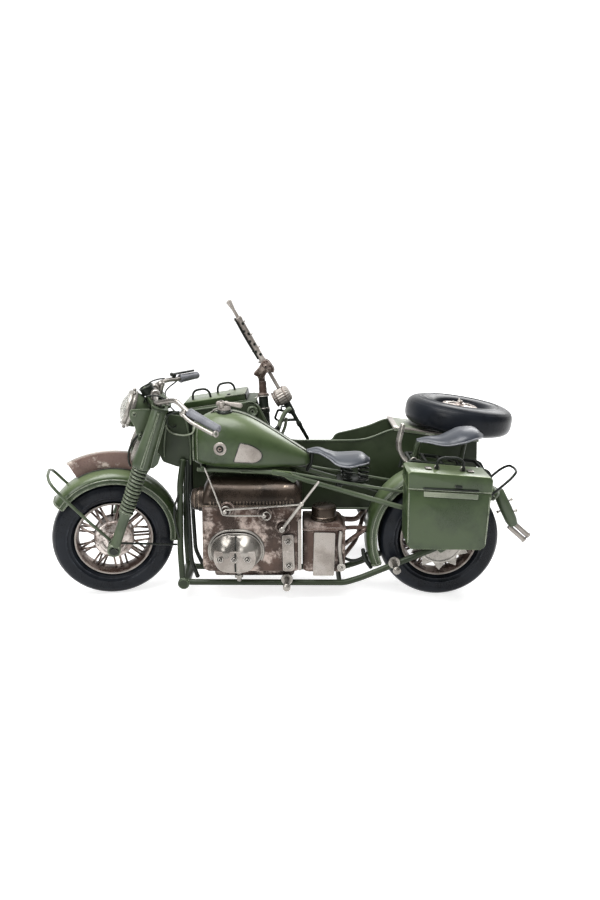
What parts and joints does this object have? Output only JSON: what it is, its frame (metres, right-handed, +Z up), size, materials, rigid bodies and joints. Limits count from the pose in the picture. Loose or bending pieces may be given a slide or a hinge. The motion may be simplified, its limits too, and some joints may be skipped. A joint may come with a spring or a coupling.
{
  "type": "tin toy motorcycle with sidecar",
  "caption": "Hand-made painted tin model of a military motorcycle with sidecar, spare wheel, pannier and toy gun on a post; wheels roll and the fork steers.",
  "frame": {"origin": "middle of the bounding box in X and Y, at floor level under the tyres", "axes": "front of the motorcycle to -X, sidecar on the +Y side, +Z up"},
  "size_m": [0.368, 0.195, 0.2221],
  "materials": {
    "green_paint": "worn olive-green paint, semi-gloss",
    "dark_green_paint": "dark green paint, satin",
    "grey_green_paint": "grey-green paint, satin",
    "rusty_metal": "brown rust-toned paint with silver wear",
    "worn_silver": "worn silver metal with grime",
    "black_wire": "black-green painted wire",
    "tyre_rubber": "satin dark blue-grey",
    "saddle_paint": "satin blue-grey",
    "lamp_glass": "fluted pressed lens"
  },
  "bodies": {
    "chassis": {"down_tube_left": "green_paint", "bottom_tube_left": "green_paint", "top_rail_left": "green_paint", "down_tube_right": "green_paint", "bottom_tube_right": "green_paint", "top_rail_right": "green_paint", "rear_axle": "worn_silver", "steering_head": "dark_green_paint", "fuel_tank": "green_paint", "engine_block": "rusty_metal", "engine_cover": "rusty_metal", "front_cylinder": "rusty_metal", "rocker_cover_left": "worn_silver", "rocker_cover_right": "worn_silver", "gearbox": "rusty_metal", "air_filter": "rusty_metal", "gear_linkage": "worn_silver", "rear_mudguard": "green_paint", "luggage_rack": "black_wire", "grab_handle": "worn_silver", "rider_saddle": "saddle_paint", "pillion_saddle": "saddle_paint", "rear_loop": "black_wire", "tail_arm": "grey_green_paint", "pannier_box": "green_paint", "sidecar_tub": "dark_green_paint", "sidecar_deck": "green_paint", "sidecar_seat": "saddle_paint", "nose_box": "green_paint", "sidecar_axle_tube": "green_paint", "sidecar_front_tube": "green_paint", "sidecar_strut": "rusty_metal", "sidecar_mudguard": "green_paint", "gun_post": "dark_green_paint"},
    "fork": {"fork_leg_left": "grey_green_paint", "fork_leg_right": "grey_green_paint", "fork_yoke": "dark_green_paint", "headlamp": "grey_green_paint", "headlamp_lens": "lamp_glass", "handlebar": "grey_green_paint", "front_axle": "worn_silver", "front_mudguard": "green_paint", "number_plate": "rusty_metal", "front_stay": "black_wire"},
    "front_wheel_set": {"front_tyre": "tyre_rubber", "front_wheel": "rusty_metal"},
    "rear_wheel_set": {"rear_tyre": "tyre_rubber", "rear_wheel": "rusty_metal", "rear_sprocket": "worn_silver"},
    "sidecar_wheel_set": {"sidecar_tyre": "tyre_rubber", "sidecar_wheel": "rusty_metal"},
    "spare_wheel_set": {"spare_tyre": "tyre_rubber", "spare_wheel": "rusty_metal"},
    "filler": {"filler_cap": "worn_silver"},
    "lid": {"pannier_lid": "green_paint"},
    "lid_handle": {"pannier_handle": "black_wire"},
    "gun_swivel": {"gun_cradle": "rusty_metal"},
    "gun": {"gun_barrel": "worn_silver", "gun_receiver": "black_wire", "gun_drum": "worn_silver"}
  },
  "joints": [
    {"name": "steering", "type": "hinge", "parent": "chassis", "child": "fork", "pos_m": [-0.09936, -0.0399, 0.1488], "axis": [0.3387, 0, 0.9409], "range_deg": [-38.5, 11.5]},
    {"name": "front_wheel_spin", "type": "hinge", "parent": "fork", "child": "front_wheel_set", "pos_m": [-0.13836, -0.04037, 0.04622], "axis": [-0.2196, 0.9724, 0.0791], "continuous": true},
    {"name": "rear_wheel_spin", "type": "hinge", "parent": "chassis", "child": "rear_wheel_set", "pos_m": [0.11144, -0.0399, 0.046], "axis": [0, 1, 0], "continuous": true},
    {"name": "sidecar_wheel_spin", "type": "hinge", "parent": "chassis", "child": "sidecar_wheel_set", "pos_m": [0.10044, 0.0841, 0.046], "axis": [0, 1, 0], "continuous": true},
    {"name": "spare_wheel_turn", "type": "hinge", "parent": "chassis", "child": "spare_wheel_set", "pos_m": [0.13854, 0.0336, 0.1274], "axis": [0.1389, 0, 0.9903], "continuous": true},
    {"name": "filler_cap_twist", "type": "hinge", "parent": "chassis", "child": "filler", "pos_m": [-0.05056, -0.0449, 0.146], "axis": [0, 0, 1], "range_deg": [-90, 0]},
    {"name": "pannier_lid_hinge", "type": "hinge", "parent": "chassis", "child": "lid", "pos_m": [0.11144, -0.0599, 0.107], "axis": [-1, 0, 0], "range_deg": [0, 55]},
    {"name": "lid_handle_fold", "type": "hinge", "parent": "lid", "child": "lid_handle", "pos_m": [0.11144, -0.0759, 0.1098], "axis": [1, 0, 0], "range_deg": [0, 80]},
    {"name": "gun_swivel_turn", "type": "hinge", "parent": "chassis", "child": "gun_swivel", "pos_m": [-0.02626, 0.0336, 0.156], "axis": [0, 0, 1], "range_deg": [-15, 15]},
    {"name": "gun_elevation", "type": "hinge", "parent": "gun_swivel", "child": "gun", "pos_m": [-0.02306, 0.0336, 0.1685], "axis": [0, 1, 0], "range_deg": [-40, 3]}
  ]
}
